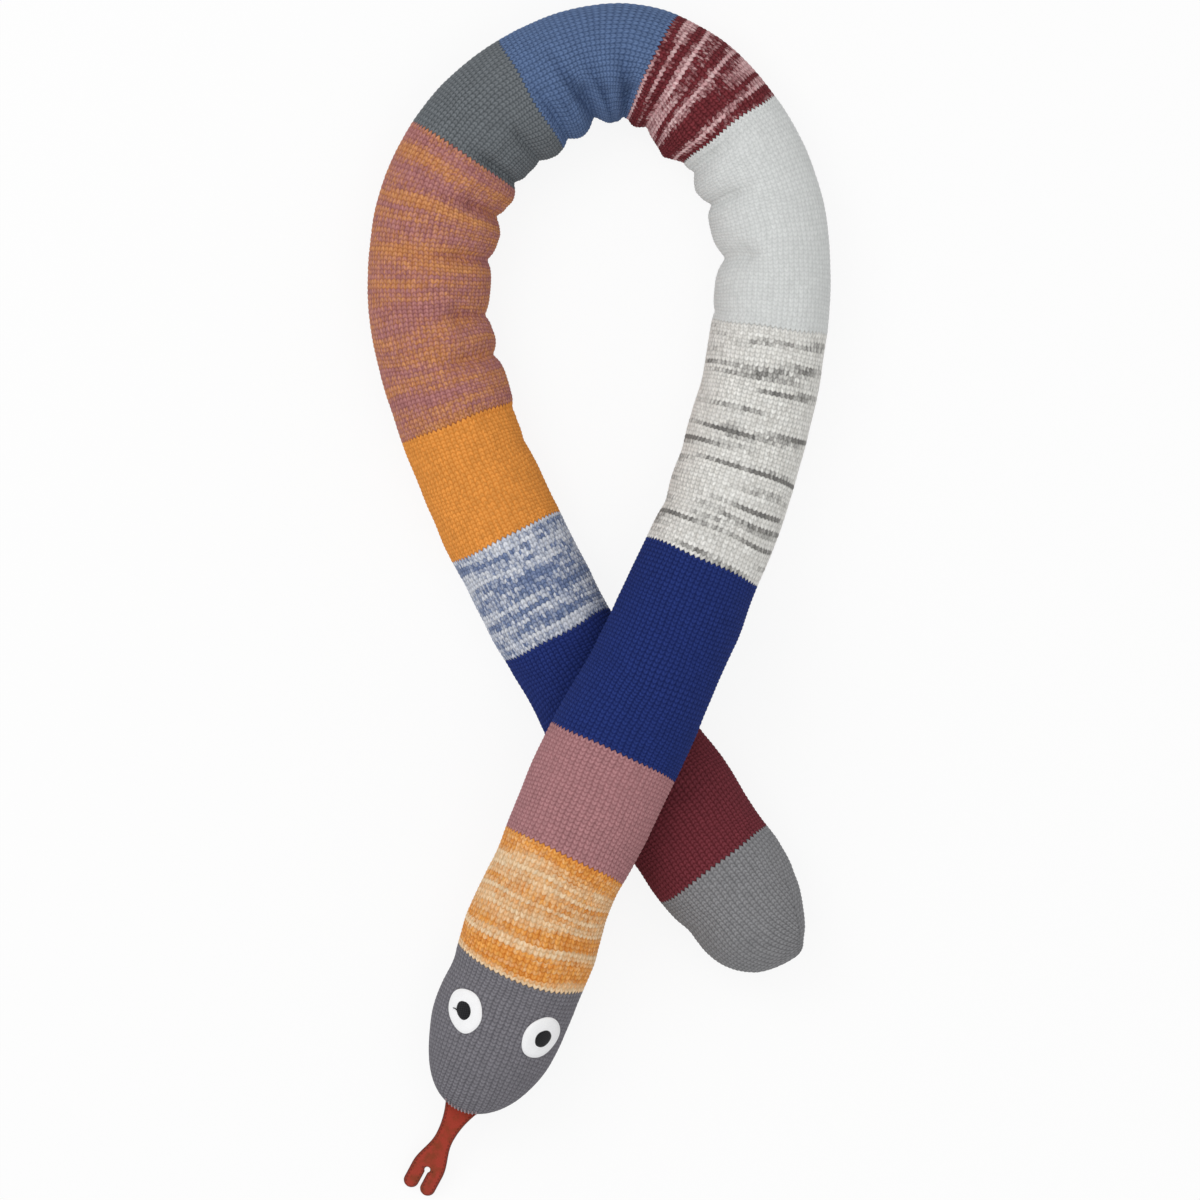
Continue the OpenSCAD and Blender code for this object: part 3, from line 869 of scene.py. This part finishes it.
def finish_yarn(y, base, seed, deep=0.5, vary=0.2, rich=0.35):
    """
    Paints shade into the gaps between stitches, gives each stitch its own tone and the yarn its
    fibres.

    deep is how dark the painted shade in the gaps is, vary how far the stitches' tones differ, and
    rich how much fuller and darker the colour is in that painted shade.
    """
    height = stitches(y)
    gap = y.math("SUBTRACT", 1.0, height)
    slow = y.noise(y.vector(y.times(y.u, 0.11), y.times(y.v, 0.08), seed), 1.0, 2.0)
    # Painted shade: the colour is darkened in the gaps between stitches, where shade falls, more
    # deeply in slow patches.
    shade = y.times(gap, y.scaled(slow, 1.2 * deep, 0.4 * deep))
    own = y.scaled(y.chance(y.legs(), y.v, seed), vary, 1.0 - vary / 2)
    fibre = y.noise(y.vector(y.times(y.u, 6.0), y.times(y.v, 3.0)), 1.6, 3.0)
    tone = y.math("SUBTRACT", 1.0, shade)
    for factor in (own, y.scaled(fibre, 0.3, 0.85), y.scaled(slow, 0.2, 0.9)):
        tone = y.times(tone, factor)
    # More painted shade: in the gaps the colour is also made darker and fuller, as light bounced
    # between the yarns makes it.
    full = y.node("ShaderNodeGamma", Color=base, Gamma=y.scaled(gap, rich, 1.0))
    relief = y.scaled(fibre, 0.5, height)
    return y.finish(full.outputs[0], tone, relief, 0.6, 0.0008)


def marl_yarn(cover, name, seed, first, second, balance, run=20.0, step=0.5, gain=4.0, ticks=0.5,
              plies=0.0, bias=0.0, wander=0.0, **how):
    """
    Yarn that changes between two colours along its length, each of them in two tones.

    run is the length of a change in wales, step how little a course takes after the one before it,
    and gain how sharp a change is. ticks and plies say how much each stitch and each turn of the
    yarn go their own way, and wander how many courses the stripes stray. bias favours the second
    colour.
    """
    y = Yarn(name, fuzz=first[1])
    courses = round((end_of(cover) - STARTS[cover]) / COURSE)
    spot = y.vector(y.math("DIVIDE", y.u, run), y.times(y.math("FLOOR", y.v), step), seed)
    stray = y.noise(y.vector(y.math("DIVIDE", y.u, 16.0), seed), 1.0)
    stripe = y.math("FLOOR", y.math("ADD", y.v, y.either_way(stray, wander)))
    tick = y.chance(y.legs(), y.v, seed + 3)
    ply = y.chance(y.times(y.u, 4.0), y.times(y.v, 2.0), seed + 4)
    share = y.scaled(y.noise(spot, 1.0), gain, bias - gain / 2)
    share = y.math("ADD", share, y.ramp(y.math("DIVIDE", stripe, courses), balance))
    share = y.math("ADD", share, y.either_way(tick, ticks))
    share = y.math("ADD", share, y.either_way(ply, plies), clamp=True)
    tone = y.chance(y.legs(), y.v, seed + 5)
    low, high = (y.mix(tone, colour(light), colour(dark)) for light, dark in (first, second))
    return finish_yarn(y, y.mix(share, low, high), seed, **how)


def felt(name, code, speckle, seed):
    """Pressed fibre, finely speckled."""
    y = Yarn(name, rough=0.85, sheen=0.25, uv="felt")
    spot = y.vector(y.u, y.v, seed)
    fine = y.noise(spot, 14.0, 4.0)
    wide = y.noise(spot, 1.6, 2.0)
    tone = y.scaled(fine, speckle, 1.0 - speckle * 0.55)
    tone = y.times(tone, y.scaled(wide, 0.08, 0.96))
    return y.finish(colour(code), tone, fine, 0.35, 0.0004)


def pupil_yarn():
    """Black yarn worked in small close stitches, whose faint grid of dots is painted light: lighter
    grey on the stitches' raised tops, near black between them.
    """
    y = Yarn("pupil yarn", rough=0.75, sheen=0.2, uv="felt")
    dots = y.times(y.zigzag(y.times(y.u, 8.0)), y.zigzag(y.times(y.v, 8.0)))
    fibre = y.noise(y.vector(y.u, y.v), 40.0, 3.0)
    # Painted light and shade: the colour is lighter where the stitches stand up and darker in the
    # gaps between them.
    share = y.math("MULTIPLY", dots, y.scaled(fibre, 0.8, 0.4), clamp=True)
    return y.finish(y.mix(share, colour("#131315"), colour("#38383C")), None, dots, 0.6, 0.0005)


def tongue_felt():
    """Brick red felt with painted shade over its rounded edge, browner blotches and a dashed line
    of stitches.
    """
    y = Yarn("tongue felt", rough=0.85, sheen=0.25, uv="felt")
    rim = y.uv_parts("rim")[0]
    spot = y.vector(y.u, y.v, 3.0)
    fine = y.noise(spot, 16.0, 4.0)
    wide = y.noise(spot, 1.3, 2.0)
    # Painted shade: the colour darkens over the felt's rounded edge, where it turns away from the
    # light.
    edge = y.math("SMOOTH_MIN", y.times(rim, 5.0), 1.0, 0.3)
    base = y.mix(edge, colour("#4E1F16"), colour("#A23A2A"))
    blotch = y.scaled(wide, 6.0, -2.8, clamp=True)
    base = y.mix(y.times(blotch, 0.7), base, colour("#7E3A1C"))
    off_line = y.math("ABSOLUTE", y.math("ADD", rim, -0.2))
    on_line = y.scaled(off_line, -14.0, 1.0, clamp=True)
    dashes = y.math("GREATER_THAN", y.zigzag(y.times(y.u, 3.5)), 0.45)
    base = y.mix(y.times(y.times(on_line, dashes), 0.75), base, colour("#561C14"))
    return y.finish(base, y.scaled(fine, 0.4, 0.8), fine, 0.4, 0.0005)


# The plain yarns: cover, name, colour, and how its shading differs.
PLAIN_YARNS = [
    ("head_cover", "head grey", "#838187", {}),
    ("tail_cover", "tail grey", "#919193", {}),
    ("mauve_band", "mauve", "#B58588", {}),
    ("royal_blue_band", "royal blue", "#293A79", {}),
    ("rear_blue_band", "rear royal blue", "#2C3C7C", {}),
    ("pale_grey_band", "pale grey", "#DADCDB", dict(deep=0.16, vary=0.1)),
    ("denim_band", "denim", "#657BA1", dict(deep=0.62)),
    ("slate_band", "slate", "#767B7F", dict(deep=0.6)),
    ("mustard_band", "mustard", "#E79C4D", dict(deep=0.3, vary=0.24)),
    ("burgundy_band", "burgundy", "#793840", {})]
# The marl yarns: cover, name, seed, the two tones of each colour, which colour wins along the
# band as (share of its courses, share of the second colour), and how its changes differ.
MARL_YARNS = [
    ("orange_marl_band", "orange marl", 11, ("#F7DFBE", "#EBCAA2"), ("#F1B060", "#DF9244"),
     [(0, 0), (0.03, 0.05), (0.05, 0.95), (0.19, 0.9), (0.22, 0.15), (0.28, 0.15),
      (0.31, 0.85), (0.42, 0.8), (0.46, 0.15), (0.54, 0.15), (0.58, 0.55), (0.68, 0.5),
      (0.71, 0.1), (0.8, 0.1), (0.84, 0.85), (1, 0.95)],
     dict(run=24.0, step=7.3, gain=2.4, ticks=0.4, plies=0.4, wander=3.0, deep=0.34, rich=0.6)),
    ("white_marl_band", "white marl", 13, ("#F4F3EF", "#DFDDD8"), ("#8F8D89", "#787775"),
     [(0, 0.05), (0.06, 0.45), (0.2, 0.45), (0.3, 0.3), (0.5, 0.35), (0.7, 0.3),
      (0.8, 0.45), (0.94, 0.5), (1, 0.15)],
     dict(run=26.0, gain=7.5, ticks=0.7, plies=0.3, bias=-0.6)),
    ("burgundy_marl_band", "burgundy marl", 12, ("#80383E", "#6C2F34"), ("#E8C8C8", "#CE9EA1"),
     [(0, 0), (0.1, 0), (0.14, 0.2), (0.5, 0.1), (0.9, 0.16), (1, 0)],
     dict(run=40.0, gain=8.0, ticks=0.8, plies=0.5, deep=0.6)),
    ("rust_marl_band", "rust marl", 14, ("#BE8683", "#AB7473"), ("#D79A68", "#C8885B"),
     [(0, 0.15), (0.04, 0.25), (0.1, 0.5), (0.9, 0.45), (1, 0.2)],
     dict(run=24.0, step=0.3, gain=3.4, plies=0.8)),
    ("denim_marl_band", "denim marl", 15, ("#E6E8EE", "#CDD2DE"), ("#8594B4", "#6A7A9F"),
     [(0, 0), (0.04, 0.1), (0.08, 0.55), (0.15, 0.3), (0.35, 0.4), (0.5, 0.6),
      (0.75, 0.5), (0.94, 0.5), (0.97, 0.1), (1, 0)],
     dict(gain=4.5, ticks=1.2, plies=0.4, deep=0.65))]


def make_materials():
    """One material to each cover, and those of the eyes and the tongue."""
    m = {}
    for seed, (cover, name, code, how) in enumerate(PLAIN_YARNS, 1):
        m[cover] = finish_yarn(Yarn(name, fuzz=code), colour(code), seed, **how)
    for cover, name, seed, first, second, balance, how in MARL_YARNS:
        m[cover] = marl_yarn(cover, name, seed, first, second, balance, **how)
    m["felt"] = felt("white felt", "#F5F5F6", 0.22, 21)
    m["pupil"] = pupil_yarn()
    m["tongue"] = tongue_felt()
    return m


# The scene

# The photograph's pixels across, the size of one in millimetres, and the middle of the picture.
PHOTO_PIXELS, PIXEL = 1200, 0.72
PICTURE_MIDDLE = (1.08, 0.36)
# In metres: the camera's distance, the height that it and the lights look at, and half the floor.
CAMERA_DISTANCE, LOOK_HEIGHT, FLOOR_HALF = 6.0, 0.04, 6
# How pale the floor is, how much of it the camera sees as glow, and how bright the room is.
FLOOR_GREY, FLOOR_GLOW, ROOM_LIGHT = 0.85, 0.88, 0.66
# The lights: name, place, size and power.
LIGHTS = [("key", (-1.2, 1.0, 2.2), 1.4, 17), ("top", (0.3, -0.3, 2.6), 2.2, 15)]


def make_camera():
    """Straight down from far off, with the photograph's frame."""
    data = bpy.data.cameras.new("camera")
    data.sensor_width = 36
    data.lens = 36 * CAMERA_DISTANCE / (PHOTO_PIXELS * PIXEL * MM)
    data.clip_end = 50
    camera = add_object("camera", data)
    x, y = PICTURE_MIDDLE
    camera.location = (x * MM, y * MM, LOOK_HEIGHT + CAMERA_DISTANCE)
    bpy.context.scene.camera = camera


def make_floor():
    """A pale floor that keeps the toy's shadow, and shows nearly white to the camera."""
    half = FLOOR_HALF
    corners = [(-half, -half, 0), (half, -half, 0), (half, half, 0), (-half, half, 0)]
    mesh = bpy.data.meshes.new("floor")
    mesh.from_pydata(corners, [], [(0, 1, 2, 3)])
    floor = add_object("floor", mesh)
    material = bpy.data.materials.new("floor")
    material.use_nodes = True
    tree = material.node_tree
    shader = tree.nodes["Principled BSDF"]
    shader.inputs["Base Color"].default_value = (FLOOR_GREY, FLOOR_GREY, FLOOR_GREY, 1)
    shader.inputs["Roughness"].default_value = 0.9
    glow = tree.nodes.new("ShaderNodeEmission")
    glow.inputs["Color"].default_value = (1, 1, 1, 1)
    mixed = tree.nodes.new("ShaderNodeMixShader")
    ray = tree.nodes.new("ShaderNodeLightPath")
    part = tree.nodes.new("ShaderNodeMath")
    part.operation = "MULTIPLY"
    part.inputs[1].default_value = FLOOR_GLOW
    tree.links.new(ray.outputs["Is Camera Ray"], part.inputs[0])
    tree.links.new(part.outputs[0], mixed.inputs[0])
    tree.links.new(shader.outputs[0], mixed.inputs[1])
    tree.links.new(glow.outputs[0], mixed.inputs[2])
    tree.links.new(mixed.outputs[0], tree.nodes["Material Output"].inputs["Surface"])
    mesh.materials.append(material)


def area_light(name, where, size, power):
    """A soft square light that looks at the middle of the toy."""
    data = bpy.data.lights.new(name, "AREA")
    data.size = size
    data.energy = power
    lamp = add_object(name, data)
    lamp.location = where
    aim = Vector((0, 0, LOOK_HEIGHT)) - Vector(where)
    lamp.rotation_euler = aim.to_track_quat("-Z", "Y").to_euler()


def make_light():
    """A white room with two soft lights over the toy."""
    world = bpy.data.worlds.new("studio")
    world.use_nodes = True
    background = world.node_tree.nodes["Background"]
    background.inputs["Color"].default_value = (1, 1, 1, 1)
    background.inputs["Strength"].default_value = ROOM_LIGHT
    bpy.context.scene.world = world
    for light in LIGHTS:
        area_light(*light)
    bpy.context.scene.view_settings.view_transform = "Standard"


# The body that each cover rides on, which is the loop for all the others. A bending cover has two:
# the one it hangs on, and the one that moves.
BODIES = dict.fromkeys(NAMES, "loop") | {
    "head_cover": "head", "orange_marl_band": ("neck", "head"), "mauve_band": ("front", "neck"),
    "royal_blue_band": "front", "white_marl_band": "front", "pale_grey_band": ("loop", "front"),
    "burgundy_band": ("loop", "tail"), "tail_cover": "tail"}
# The fillings that each cover stands for besides its own CAD node.
FILLINGS = {
    "head_cover": ["head_filling"], "orange_marl_band": ["neck_filling"],
    "mauve_band": ["throat_filling"], "royal_blue_band": ["front_filling"],
    "pale_grey_band": ["shoulder_filling"], "burgundy_marl_band": ["loop_filling"],
    "burgundy_band": ["rump_filling"], "tail_cover": ["tail_filling"]}


def join_to_frame(made):
    """Each cover rides on its body, or only has its place baked into its mesh where it is given
    two, and stands for its CAD solids.
    """
    for name, thing in made.items():
        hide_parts(name, *FILLINGS.get(name, []))
        body = BODIES[name]
        if isinstance(body, str):
            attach(thing, body)
            continue
        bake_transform(thing)


def join_trim(eyes, tongue, mouth):
    """The eyes and the mouth's stitches ride on the head, and the tongue on its own hinge."""
    for name, thing in eyes.items():
        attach(thing, "head")
        if name != "tick":
            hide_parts(name)
    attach(tongue, "tongue")
    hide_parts("tongue")
    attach(mouth[0], "head")


materials = make_materials()
body = make_body(materials)
join_to_frame(body)
eyes = make_eyes(materials)
tongue = make_tongue(materials["tongue"])
mouth = make_mouth_stitches(felt("mouth yarn", "#A08C91", 0.3, 22))
join_trim(eyes, tongue, mouth)
make_camera()
make_floor()
make_light()
